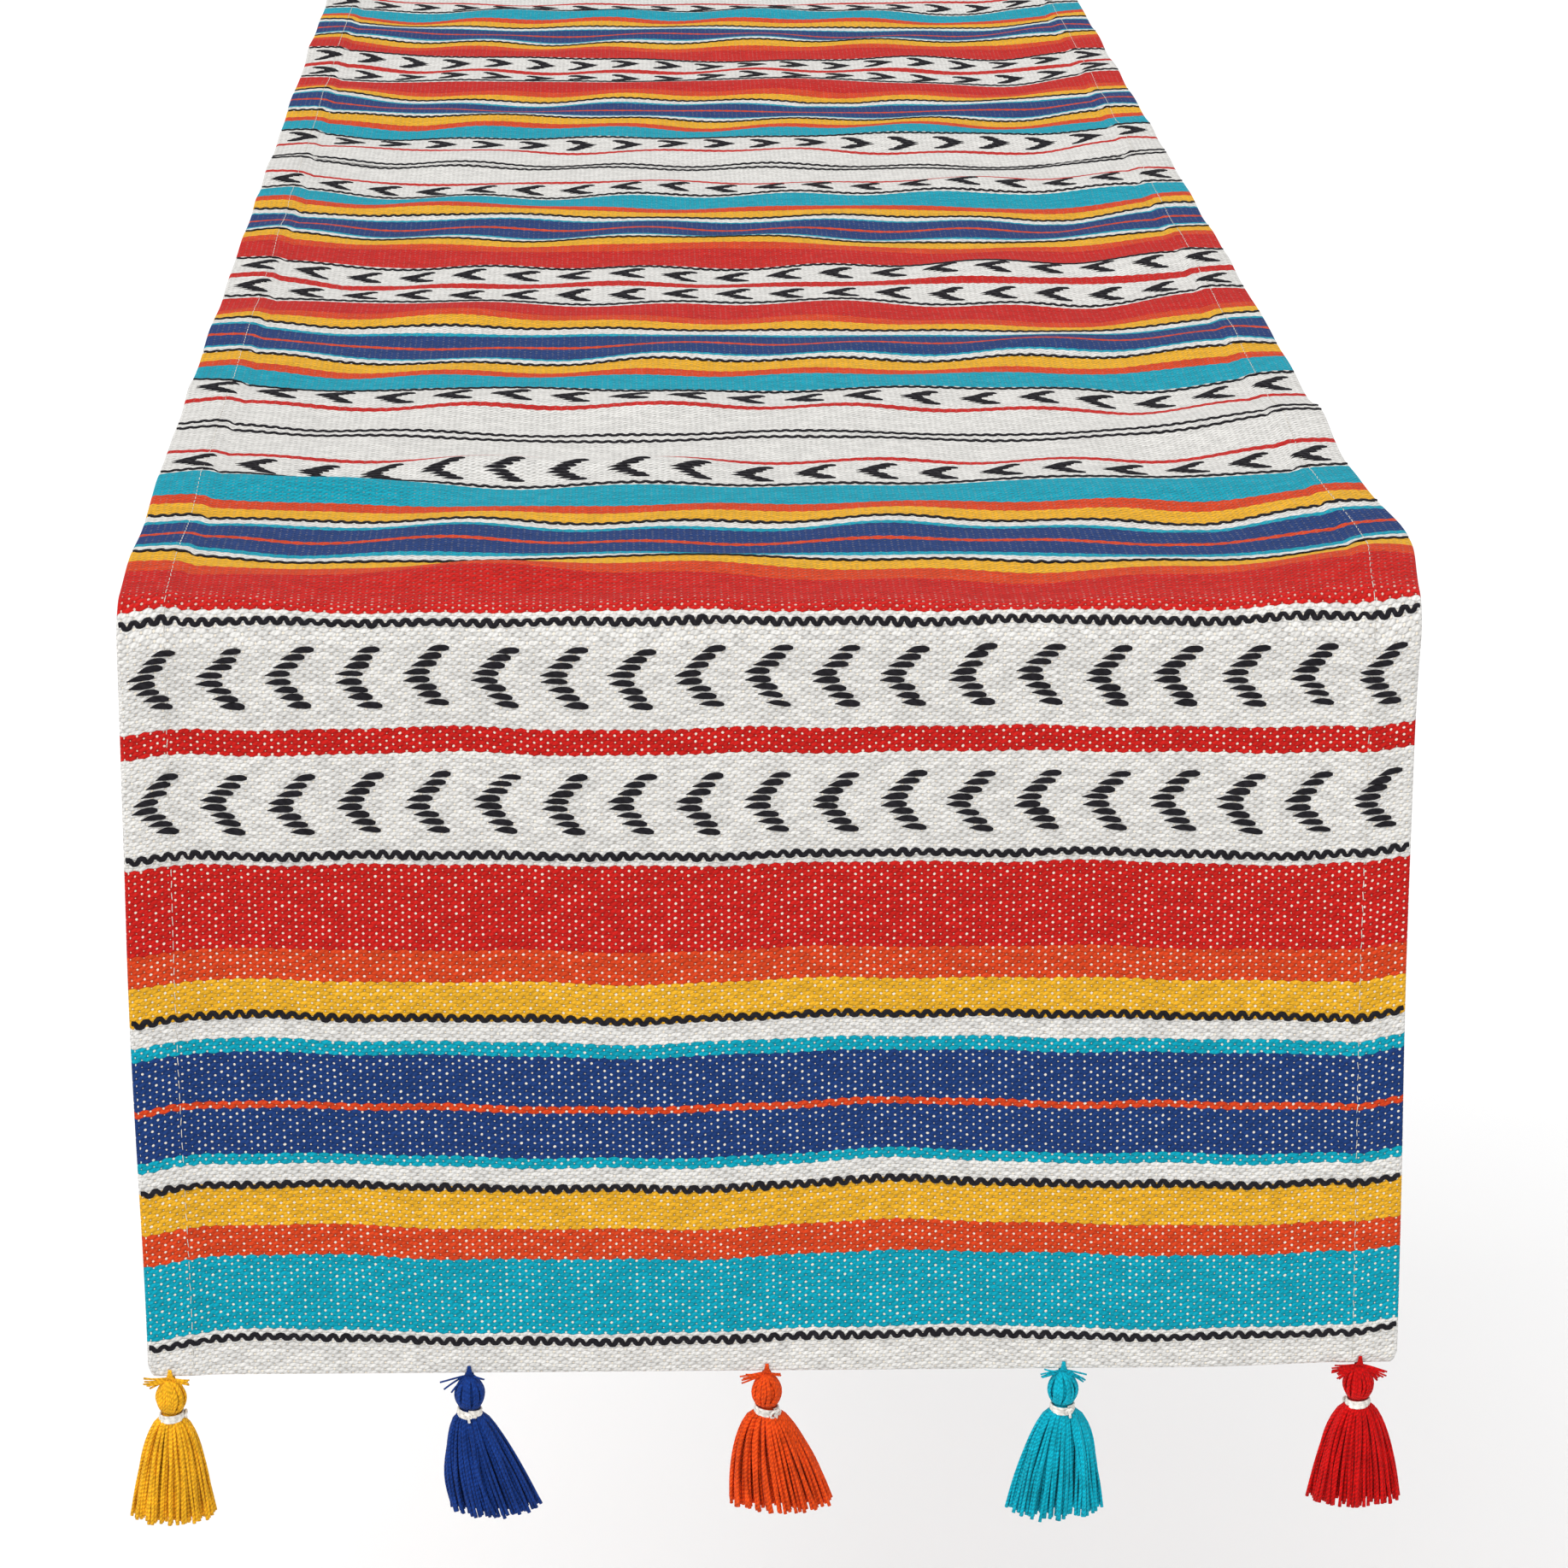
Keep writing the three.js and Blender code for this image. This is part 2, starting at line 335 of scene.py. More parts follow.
def nearest(graph, across, along, shift, spread):
    """The nearest place of a set that repeats with the weave: how far off it is, which is 1 at its
    rim, and its column and row. shift moves the set and spread is its half-sizes, in repeats."""
    column = graph.math("ADD", graph.math("DIVIDE", across, WEFT_PERIOD), shift[0])
    row = graph.math("ADD", graph.math("DIVIDE", along, WEFT_ROWS), shift[1])
    column_id = graph.math("ROUND", column)
    row_id = graph.math("ROUND", row)
    off_x = graph.math("DIVIDE", graph.math("SUBTRACT", column, column_id), spread[0])
    off_y = graph.math("DIVIDE", graph.math("SUBTRACT", row, row_id), spread[1])
    off = graph.math("ADD", graph.math("POWER", off_x, 2.0), graph.math("POWER", off_y, 2.0))
    return off, column_id, graph.math("SUBTRACT", row_id, shift[1])


def nearest_of_two(graph, across, along, shifts, spread):
    """The nearer of two sets of places, which lie between each other like bricks."""
    off_a, column_a, row_a = nearest(graph, across, along, shifts[0], spread)
    off_b, column_b, row_b = nearest(graph, across, along, shifts[1], spread)
    is_b = graph.math("LESS_THAN", off_b, off_a)
    off = graph.math("MINIMUM", off_a, off_b)
    column = graph.pick(is_b, column_a, column_b)
    row = graph.pick(is_b, row_a, row_b)
    return off, row, graph.chance(graph.vector(column, row, is_b))


def woven_cotton():
    """Coloured weft packed over a cream warp, which shows as a dot between the weft's floats."""
    graph = Graph("woven_cotton")
    across, along = graph.uv("cloth")
    wobble = graph.noise(graph.vector(across, along), scale=0.35)
    unsteady = graph.math("MULTIPLY", graph.math("SUBTRACT", wobble, 0.5), 0.9)
    across = graph.math("ADD", across, unsteady)
    along = graph.math("ADD", along, graph.math("MULTIPLY", unsteady, 0.6))
    off, row, tone = nearest_of_two(
        graph, across, along, shifts=((0, 0), (0.5, 0.5)), spread=(0.45, 0.33)
    )
    dot_off, _, dot_size = nearest_of_two(
        graph, across, along, shifts=((0.5, 0), (0, 0.5)), spread=(0.1, 0.18)
    )
    weft = stripe_colour(graph, graph.math("MULTIPLY", row, WEFT_ROWS))

    twist = graph.math("SUBTRACT", graph.math("DIVIDE", across, 1.75), graph.math("DIVIDE", along, 2.3))
    twist = graph.math("ADD", twist, graph.math("MULTIPLY", tone, 0.35))
    ply = graph.math("SINE", graph.math("MULTIPLY", twist, TAU))
    fibre = graph.noise(
        graph.vector(graph.math("MULTIPLY", across, 0.8), graph.math("MULTIPLY", along, 3.2)),
        scale=1.6,
    )
    # Painted shade and light: the weft is lightened a little on each float's crown and darkened in the
    # gaps between floats (off), and darkened in the grooves between its plies (ply). tone and fibre are
    # the yarn's own random tone.
    light = graph.step(tone, 0.0, 1.0, 0.9, 1.07)
    for shade in (
        graph.step(fibre, 0.25, 0.75, 0.9, 1.1),
        graph.step(off, 0.3, 1.25, 1.06, 0.7),
        graph.step(ply, -1.0, 0.3, 0.84, 1.03),
    ):
        light = graph.math("MULTIPLY", light, shade)
    weft = graph.mix(1.0, weft, graph.vector(light, light, light), "MULTIPLY")

    rim = graph.step(dot_size, 0.0, 1.0, 0.22, 1.2)
    showing = graph.step(graph.math("DIVIDE", dot_off, rim), 0.55, 1.1, 1.0, 0.0)
    open_share = graph.step(along, ROLL_END - 12, ROLL_END + 8, 0.88, 0.14)
    dot = graph.mix(dot_size, linear(232, 214, 190), linear(250, 242, 226))
    cover = graph.math("MULTIPLY", showing, open_share)
    graph.link(graph.mix(cover, weft, dot), graph.shader["Base Color"])

    cushion = graph.math("SQRT", graph.math("MAXIMUM", graph.math("SUBTRACT", 1.25, off), 0.0))
    height = graph.math("ADD", cushion, graph.math("MULTIPLY", ply, 0.15))
    height = graph.math("MAXIMUM", height, graph.math("MULTIPLY", showing, 0.6))
    height = graph.math("ADD", height, graph.math("MULTIPLY", fibre, 0.35))
    graph.bump(height, depth=0.5 * MM, strength=0.85)
    graph.soft_finish(roughness=0.95, sheen=0.05)
    return graph.material


def twisted_yarn(name, colour, dark=0.74, turn=1.25, depth=0.1):
    """Two-ply yarn: the map runs round the yarn (0 to 1) and along it in millimetres. dark is how
    much light is left between the plies, turn how far apart they are along the yarn, and depth how
    deep the groove between them is."""
    graph = Graph(name)
    around, along = graph.uv("yarn")
    phase = graph.math("ADD", graph.math("MULTIPLY", around, 2.0), graph.math("DIVIDE", along, turn))
    ply = graph.math("SINE", graph.math("MULTIPLY", phase, TAU))
    fibre = graph.noise(graph.object_place(), scale=900.0, detail=3.0)
    broad = graph.noise(graph.object_place(), scale=160.0, detail=1.0)
    light = graph.step(ply, -1.0, 0.6, dark, 1.0)
    light = graph.math("MULTIPLY", light, graph.step(fibre, 0.3, 0.7, 0.84, 1.16))
    light = graph.math("MULTIPLY", light, graph.step(broad, 0.3, 0.7, 0.88, 1.08))
    shaded = graph.mix(1.0, colour, graph.vector(light, light, light), "MULTIPLY")
    graph.link(shaded, graph.shader["Base Color"])
    graph.bump(graph.math("ADD", ply, fibre), depth * MM, strength=0.9)
    graph.soft_finish(roughness=0.8, sheen=0.05)
    return graph.material


# ---------------------------------------------------------------- meshes


def add_piece(name, points, faces, material, maps):
    """A smooth-shaded mesh from points in millimetres. maps gives each named map's corners."""
    mesh = bpy.data.meshes.new(name)
    mesh.from_pydata((np.asarray(points) * MM).tolist(), [], faces)
    for map_name, corners in maps.items():
        layer = mesh.uv_layers.new(name=map_name)
        layer.data.foreach_set("uv", np.asarray(corners, np.float32).ravel())
    mesh.shade_smooth()
    mesh.materials.append(material)
    piece = bpy.data.objects.new(name, mesh)
    bpy.context.collection.objects.link(piece)
    return piece


def unit(vectors):
    return vectors / np.maximum(np.linalg.norm(vectors, axis=-1, keepdims=True), 1e-9)


class Yarns:
    """Gathers lengths of yarn into one mesh. Each is a tube with an oval section and shut ends, and
    its map starts further along than the last one's, so that their twists don't line up."""

    MAP_START = 7.3

    def __init__(self, sides=6):
        self.sides = sides
        self.points = []
        self.faces = []
        self.corners = []
        self.point_count = 0
        self.yarn_count = 0

    def add(self, lines, facing, half_width, half_height):
        """lines is (yarns, points, 3). facing is which way each yarn's flat side looks."""
        lines = np.asarray(lines, float)
        yarns, length, _ = lines.shape
        along = unit(np.gradient(lines, axis=1))
        facing = np.broadcast_to(facing, lines.shape)
        side = unit(np.cross(along, facing))
        up = np.cross(side, along)
        angle = np.arange(self.sides) * TAU / self.sides
        width = np.broadcast_to(half_width, (yarns, length))[:, :, None, None]
        height = np.broadcast_to(half_height, (yarns, length))[:, :, None, None]
        ring = (
            side[:, :, None] * width * np.cos(angle)[None, None, :, None]
            + up[:, :, None] * height * np.sin(angle)[None, None, :, None]
        )
        self.points.append((lines[:, :, None] + ring).reshape(-1, 3))
        steps = np.linalg.norm(np.diff(lines, axis=1), axis=2)
        start = self.MAP_START * (self.yarn_count + np.arange(yarns)[:, None])
        run = np.concatenate([start, start + np.cumsum(steps, axis=1)], axis=1)
        self._walls(yarns, length, run)
        self.yarn_count += yarns
        self.point_count += yarns * length * self.sides

    def _walls(self, yarns, length, run):
        """The faces round each tube and at its ends, with their corners in the map."""
        sides = self.sides
        index = np.arange(yarns * length * sides).reshape(yarns, length, sides) + self.point_count
        after = np.roll(index, -1, axis=2)
        quads = np.stack([index[:, :-1], after[:, :-1], after[:, 1:], index[:, 1:]], axis=-1)
        self.faces += quads.reshape(-1, 4).tolist()
        around = np.arange(sides) / sides
        left = np.broadcast_to(around, (yarns, length - 1, sides))
        right = left + 1 / sides
        low = np.broadcast_to(run[:, :-1, None], left.shape)
        high = np.broadcast_to(run[:, 1:, None], left.shape)
        pairs = ((left, low), (right, low), (right, high), (left, high))
        corners = np.stack([np.stack(pair, axis=-1) for pair in pairs], axis=3)
        self.corners.append(corners.reshape(-1, 2))
        self.faces += index[:, 0, ::-1].tolist()
        self.faces += index[:, -1].tolist()
        for end in (run[:, 0], run[:, -1]):
            rim = np.broadcast_to(around, (yarns, sides))
            cap = np.stack([rim, np.broadcast_to(end[:, None], rim.shape)], axis=-1)
            self.corners.append(cap.reshape(-1, 2))

    def piece(self, name, material):
        return add_piece(
            name,
            np.concatenate(self.points),
            self.faces,
            material,
            {"yarn": np.concatenate(self.corners)},
        )


# ---------------------------------------------------------------- how the cloth lies


def smooth_step(value):
    value = np.clip(value, 0, 1)
    return value * value * (3 - 2 * value)


def inner_face(s):
    """The path of the cloth's inner face, s millimetres from the hem: how far out and up it is,
    and the angle above level that its outer face looks at."""
    turned = np.clip((TURN - s) / TURN, 0, math.pi)
    behind = np.clip(TURN - math.pi * TURN - s, 0, None)
    climbed = np.clip(s - TURN, 0, CLIMB)
    rolled = np.clip((s - TURN - CLIMB) / (ROLL + CLOTH / 2), 0, math.pi / 2)
    level = np.clip(s - ROLL_END, 0, None) * LEVEL_SCALE
    inside = GAP / 2
    out = PANEL_Y - inside * (1 - np.cos(turned)) - ROLL * (1 - np.cos(rolled)) - level
    up = HEM_Z + TURN - inside * np.sin(turned) + behind + climbed + ROLL * np.sin(rolled)
    return out, up, rolled - turned


# Soft folds that the cloth keeps, on each end. Each is where it is across and from the hem, its
# half-widths in those two directions, and its height.
FRONT_FOLDS = [
    (-78, 248, 40, 12, 5.6),
    (-22, 262, 42, 15, 2.8),
    (150, 250, 40, 14, 2.6),
    (60, 262, 50, 16, 1.2),
    (-126, 356, 30, 12, 5.8),
    (-62, 387, 55, 11, 3.4),
    (110, 352, 70, 18, 1.8),
    (150, 430, 50, 20, 2.6),
    (-20, 470, 90, 16, 2.2),
    (-150, 480, 60, 18, 2.4),
    (70, 560, 90, 18, 2.6),
    (-90, 610, 80, 20, 2.4),
    (130, 690, 70, 20, 2.6),
    (-20, 745, 100, 18, 2.4),
    (-140, 820, 70, 20, 2.4),
    (80, 860, 90, 20, 2.2),
]
BACK_FOLDS = [
    (90, 248, 52, 14, 3.2),
    (-140, 256, 50, 16, 2.8),
    (-40, 330, 80, 16, 2.6),
    (120, 372, 60, 16, 2.8),
    (-120, 440, 70, 18, 2.4),
    (30, 505, 90, 18, 2.6),
    (-70, 590, 80, 20, 2.4),
    (130, 640, 60, 18, 2.4),
    (-10, 720, 100, 20, 2.4),
    (100, 800, 80, 20, 2.2),
    (-110, 850, 80, 20, 2.2),
]

# How high the level cloth's sides curl up, as seen from the front.
LEFT_CURL = 2.6
RIGHT_CURL = 4.4


def ripples(x, y, wavelengths, seed):
    """Gentle unevenness: waves that cross each other, from -1 to 1 or so."""
    draw = np.random.default_rng(seed)
    total = 0
    for wavelength in wavelengths:
        heading = draw.uniform(0, math.pi)
        phase = draw.uniform(0, TAU)
        total = total + np.sin((x * np.cos(heading) + y * np.sin(heading)) * TAU / wavelength + phase)
    return total / math.sqrt(len(wavelengths))


def lift(x, s, side):
    """How far the cloth stands off the table, or off the table's side where it hangs."""
    folds = FRONT_FOLDS if side > 0 else BACK_FOLDS
    # level goes from 0 on the hanging end to 1 on the table.
    level = smooth_step((s - ROLL_END + 25) / 40)
    world_x = side * x
    world_y = -side * (HALF_LENGTH - s)
    uneven = 0.9 * ripples(world_x, world_y, (150, 110, 83, 62, 47), 7)
    height = level * (1.2 + uneven)
    for middle, distance, wide, long, high in folds:
        height = height + high * np.exp(-(((x - middle) / wide) ** 2) - ((s - distance) / long) ** 2)
    left_curl, right_curl = (LEFT_CURL, RIGHT_CURL) if side > 0 else (RIGHT_CURL, LEFT_CURL)
    curl = left_curl * smooth_step((-x - 128) / 46) + right_curl * smooth_step((x - 118) / 56)
    height = height + curl * smooth_step((s - ROLL_END + 30) / 70)
    hanging = smooth_step((s - 12) / 60) * (1 - level)
    height = height + hanging * (1.1 + 0.9 * ripples(x * 1.6, s * 0.6, (190, 130, 90), 11 + side))
    return np.maximum(height, 0) + 0.05


def slide(x, s):
    """How far the cloth is pulled to the right in its own plane."""
    skew = 2.2 * smooth_step(1 - s / 130)
    corner = 5.0 * np.exp(-(((s - 282) / 46) ** 2)) * smooth_step((x - 40) / (HALF_WIDTH - 40))
    return skew + corner


def corner_pull(x, s):
    """Rounds the corners of the hem, by drawing in the ends of its lowest few millimetres."""
    radius = 4.0
    below = np.clip((radius - np.maximum(s, 0)) / radius, 0, 1)
    inset = radius * (1 - np.sqrt(1 - below**2)) * 0.75
    return -np.sign(x) * inset * smooth_step((np.abs(x) - HALF_WIDTH + 16) / 14)


def corner_rise(x, s):
    """How far the hem's right corner is drawn up."""
    return 1.6 * smooth_step((x - 118) / 60) * smooth_step((90 - s) / 90)


def bow(x, s):
    """How far toward the hem the weft has bowed from a straight line. It waves across the cloth,
    and the side hems pull it down on the left and up on the right."""
    wave_crest = -48.6
    wavelength = 181.2
    swing = 0.7 + 0.6 * np.cos((s - 60) * TAU / 310)
    wave = swing * np.cos((x - wave_crest) * TAU / wavelength)
    hem_x = HALF_WIDTH - SIDE_FOLD
    pull = 1.7
    left = pull * smooth_step((-x - hem_x) / SIDE_FOLD)
    right = pull * smooth_step((x - hem_x) / SIDE_FOLD)
    return wave + left - right + 0.35 * ripples(x, s, (83, 57, 38), 3)


def place(x, s, height, side):
    """The point of the cloth at x across, s from the hem and this height above its inner face."""
    x, s, height = np.broadcast_arrays(x, s, height)
    out, up, angle = inner_face(s)
    offset = height + lift(x, s, side)
    across = x + slide(x, s) + corner_pull(x, s)
    outward = out + offset * np.cos(angle)
    upward = up + offset * np.sin(angle) + corner_rise(x, s)
    return np.stack([side * across, -side * outward, upward], axis=-1)


def facing(x, s, side):
    """Which way the cloth's outer face looks."""
    step = 0.5
    across = place(x + step, s, 0, side) - place(x - step, s, 0, side)
    along = place(x, s + step, 0, side) - place(x, s - step, 0, side)
    return unit(np.cross(across, along))


def face_height(x):
    """The height of the outer face over the inner one: raised along the side hems, and falling
    away where the cloth turns under at its sides."""
    raised = smooth_step((np.abs(x) - HALF_WIDTH + SIDE_FOLD + HEM_STEP) / HEM_STEP)
    past = np.clip(np.abs(x) - HALF_WIDTH + TURN, 0, TURN)
    return CLOTH + (HEM_STACK - CLOTH) * raised - TURN + np.sqrt(TURN**2 - past**2)


def on_cloth(x, pattern, above, side):
    """A point on the outer face, where pattern is its distance from the hem before bowing."""
    s = pattern - bow(x, pattern)
    return place(x, s, face_height(x) + above, side), facing(x, s, side)


# ---------------------------------------------------------------- the cloth


def hem_section():
    """Half of the cloth's section, from the top of the side's turn round to the thin middle, as
    (across, height) pairs for the right side."""
    strip = HALF_WIDTH - SIDE_FOLD
    turn = HALF_WIDTH - TURN
    outer = [
        (turn + TURN * math.cos(a), TURN + TURN * math.sin(a))
        for a in np.radians(range(66, -79, -24))
    ]
    under = [(x, 0.0) for x in np.linspace(turn, strip, 4)]
    back = [(x, CLOTH) for x in np.linspace(strip, turn, 4)]
    inner = [
        (turn + GAP / 2 * math.cos(a), TURN + GAP / 2 * math.sin(a))
        for a in np.radians([-45, 0, 45])
    ]
    inside = [(x, CLOTH + GAP) for x in np.linspace(turn, strip, 4)]
    down = [
        (x, (CLOTH + GAP) * float(smooth_step((x - strip + HEM_STEP) / HEM_STEP)))
        for x in np.linspace(strip, strip - HEM_STEP, 4)[1:]
    ]
    return outer + under + back + inner + inside + down


def cloth_section():
    """The whole section as a closed loop, starting along the outer face from the left."""
    spacing = 3.5
    turn = HALF_WIDTH - TURN
    face = np.linspace(-turn, turn, round(2 * turn / spacing) + 1)
    outside = np.stack([face, face_height(face)], axis=1)
    right = np.array(hem_section())
    thin = HALF_WIDTH - SIDE_FOLD - HEM_STEP
    flat = np.linspace(thin, -thin, round(2 * thin / spacing) + 1)[1:-1]
    underside = np.stack([flat, np.zeros_like(flat)], axis=1)
    left = right[::-1] * [-1, 1]
    return np.concatenate([outside, right, underside, left])


def cloth_rows():
    """The distances from the hem at which the section is repeated."""
    return np.concatenate(
        [
            np.linspace(FOLD_START, TURN - math.pi * TURN, 5)[:-1],
            np.linspace(TURN - math.pi * TURN, TURN, 9)[:-1],
            np.linspace(TURN, TURN + CLIMB, 90)[:-1],
            np.linspace(TURN + CLIMB, ROLL_END, 9)[:-1],
            np.linspace(ROLL_END, HALF_LENGTH, 270),
        ]
    )


def make_cloth(end, side, material):
    """Half of the runner as one closed sheet, from the cut edge in its end hem to the middle."""
    section = cloth_section()
    rows = cloth_rows()
    around = len(section)
    closed = np.concatenate([section, section[:1]])
    run = np.concatenate([[0], np.cumsum(np.linalg.norm(np.diff(closed, axis=0), axis=1))])
    run += section[0, 0]
    x = section[None, :, 0]
    height = section[None, :, 1]
    # Where the end hem turns under, the side hems are pressed to a fifth of their rise.
    pressed = 1 - 0.8 * smooth_step((TURN - rows[:, None]) / TURN)
    height = np.where(height > CLOTH, CLOTH + (height - CLOTH) * pressed, height)
    points = place(x, rows[:, None], height, side).reshape(-1, 3)

    index = np.arange(len(rows) * around).reshape(len(rows), around)
    after = np.roll(index, -1, axis=1)
    quads = np.stack([index[:-1], after[:-1], after[1:], index[1:]], axis=-1).reshape(-1, 4)
    pattern = rows[:, None] + bow(x, rows[:, None])
    pattern = np.concatenate([pattern, pattern[:, :1]], axis=1)
    across = np.broadcast_to(run, pattern.shape)
    flat = np.stack([across, pattern], axis=-1)
    corners = np.stack([flat[:-1, :-1], flat[:-1, 1:], flat[1:, 1:], flat[1:, :-1]], axis=2)

    faces = quads.tolist()
    maps = [corners.reshape(-1, 2)]
    for ring, ring_flat, order in ((index[0], flat[0, :-1], -1), (index[-1], flat[-1, :-1], 1)):
        faces.append(ring[::order].tolist())
        maps.append(ring_flat[::order])
    return add_piece(f"{end}_cloth", points, faces, material, {"cloth": np.concatenate(maps)})


# ---------------------------------------------------------------- threads in the cloth


def mirrored(distances):
    """Where something that repeats with the stripes falls, from the hem to the middle. Nothing
    falls within 4 mm of the hem's edge."""
    centres = [STRIPE_CENTRE + k * STRIPE_REPEAT for k in range(-1, 3)]
    places = {round(c + way * d, 3) for c in centres for d in distances for way in (-1, 1)}
    return sorted(p for p in places if 4 < p < HALF_LENGTH)


# How far the black cords and the middles of the arrows are from the middle of a mirrored group, and
# how far a cord swings to each side.
BLACK_LINES = (32.8, 80.1, 130.3, 177.0, 238.6)
ARROW_ROWS = (18.0, 192.1)
LINE_SWING = 0.58


def make_black_lines(end, side, material):
    """Black cord woven in as a wavy line, over and under the warp."""
    yarns = Yarns(6)
    reach = HALF_WIDTH - 0.7
    steps_per_wave = 9
    x = np.linspace(-reach, reach, round(2 * reach / WEFT_PERIOD * steps_per_wave))
    phase = x / WEFT_PERIOD * TAU
    draw = np.random.default_rng(21)
    for pattern in mirrored(BLACK_LINES):
        unsteady = 1 + 0.25 * ripples(x, pattern * 31, (23, 17, 11), 5)
        wave = LINE_SWING * unsteady * np.clip(1.8 * np.cos(phase + draw.uniform(-0.3, 0.3)), -1, 1)
        points, normal = on_cloth(x, pattern + wave, 0.06, side)
        thick = 0.76 * (1 + 0.1 * ripples(x, pattern * 17, (9, 6, 4), 9))
        yarns.add(points[None], normal[None], thick[None], 0.45)
    return yarns.piece(f"{end}_black_lines", material)


# How far apart the arrows are, how far in the first one is, and how far apart their floats are.
ARROW_PITCH = 18.67
ARROW_FIRST = 2.9
ARROW_ROW_PITCH = 2.2
SHORTEST_FLOAT = 1.0
# Each arrow is a column of floats, from its top to its bottom: where each starts, and its length.
ARROW_FLOATS = [
    (6.6, 6.2),
    (4.2, 6.6),
    (2.2, 6.9),
    (0.0, 7.2),
    (0.0, 7.1),
    (2.3, 6.8),
    (3.9, 6.8),
    (5.9, 6.6),
]


def make_arrows(end, side, material):
    """Rows of arrowheads, each of eight black floats that lie over the white cloth."""
    yarns = Yarns(8)
    draw = np.random.default_rng(33)
    share = np.linspace(0, 1, 11)
    pointed = np.maximum(smooth_step(share / 0.5), 0.02) ** 0.55
    taper = pointed * (1 - 0.55 * smooth_step((share - 0.82) / 0.18))
    edge = HALF_WIDTH - 0.3
    middle_row = (len(ARROW_FLOATS) - 1) / 2
    starts = np.arange(-HALF_WIDTH + ARROW_FIRST, HALF_WIDTH, ARROW_PITCH)
    for pattern in mirrored(ARROW_ROWS):
        for tip in starts:
            for row, (offset, length) in enumerate(ARROW_FLOATS):
                jitter = draw.normal(0, 0.22, 4)
                start = tip + offset + jitter[0]
                reach = min(length + jitter[1], edge - start)
                if reach < SHORTEST_FLOAT:
                    continue
                x = start + share * reach
                slope = 0.022 * (middle_row - row) + 0.06 * jitter[2] + 0.03
                rise = (middle_row - row) * ARROW_ROW_PITCH + (share - 0.5) * reach * slope
                rise = rise + 0.3 * np.sin(np.pi * share) + 0.35 * jitter[3]
                points, normal = on_cloth(x, pattern + rise, 0.05, side)
                thick = taper * (0.93 + 0.3 * jitter[2])
                yarns.add(points[None], normal[None], thick[None], (0.5 * taper)[None])
    return yarns.piece(f"{end}_arrows", material)


def stitch_starts(first, last, draw):
    """Where each stitch of a row starts, and its length."""
    start = first
    while start < last:
        length = draw.uniform(2.0, 2.9)
        yield start, length
        gap = draw.uniform(0.9, 1.5)
        start += length + gap


def make_stitches(end, side, material):
    """The sewn hems: a row of short stitches along each side and along the end."""
    yarns = Yarns(5)
    draw = np.random.default_rng(45)
    share = np.linspace(0, 1, 5)
    dip = 0.28 * np.sin(np.pi * share) ** 0.6 - 0.22
    seam_x = HALF_WIDTH - SIDE_FOLD + 1
    for way in (-1, 1):
        for start, length in stitch_starts(2.5, HALF_LENGTH - 3, draw):
            s = start + share * length
            x = way * seam_x + (share - 0.5) * draw.uniform(-0.35, 0.35)
            points = place(x, s, face_height(x) + dip, side)
            yarns.add(points[None], facing(x, s, side)[None], 0.13, 0.12)
    end_reach = seam_x - HEM_STEP - 2
    for start, length in stitch_starts(-end_reach, end_reach - 3, draw):
        x = start + share * length
        s = END_FOLD - 1 + (share - 0.5) * draw.uniform(-0.2, 0.2)
        points = place(x, s, face_height(x) + dip - 0.12, side)
        yarns.add(points[None], facing(x, s, side)[None], 0.14, 0.13)
    return yarns.piece(f"{end}_stitches", material)


# ---------------------------------------------------------------- tassels

# How far the outer tassels are from the cloth's side, the holes above the hem's edge, and the knots
# below the holes.
TASSEL_INSET = 8.5
HOLE_RISE = 2.6
KNOT_DROP = 4.5
# HEAD_TOP is measured up from the knot. SKIRT_FLATNESS is the cut end's depth over its width.
HEAD_TOP = 1.0
HEAD_HEIGHT = 9.6
NECK_HEIGHT = 3.0
SKIRT_LENGTH = 28.6
NECK_RADIUS = 2.6
SKIRT_FLATNESS = 0.56


class Tassel(NamedTuple):
    """How a tassel hangs. The skirt leans to the right by lean, its cut end is half_width from its
    middle, and it is longer than the others by extra. The binding is tipped, and has a knot."""

    colour: str
    lean: float
    half_width: float
    extra: float
    binding_tip: float
    knot_angle: float
    knot_size: float


TASSELS = [
    Tassel("yellow", -0.5, 11.7, 1.2, -6, 10, 1.1),
    Tassel("blue", 7.0, 12.8, 0.0, 6, -95, 0.9),
    Tassel("orange", 4.2, 15.0, -1.0, 8, -50, 1.6),
    Tassel("turquoise", -2.0, 13.6, 2.0, 2, -65, 0.9),
    Tassel("red", -0.3, 13.4, 0.0, -5, 150, 0.8),
]
YARN_COLOURS = {
    "yellow": linear(255, 188, 36),
    "blue": linear(24, 60, 136),
    "orange": linear(242, 82, 22),
    "turquoise": linear(8, 180, 204),
    "red": linear(216, 16, 16),
}


def oval_spread(count, draw):
    """Even places over a disc of radius 1, middle first, with a little disorder."""
    order = np.arange(count) + 0.5
    radius = np.sqrt(order / count)
    angle = order * math.pi * (3 - math.sqrt(5)) + draw.normal(0, 0.1, count)
    return radius, angle


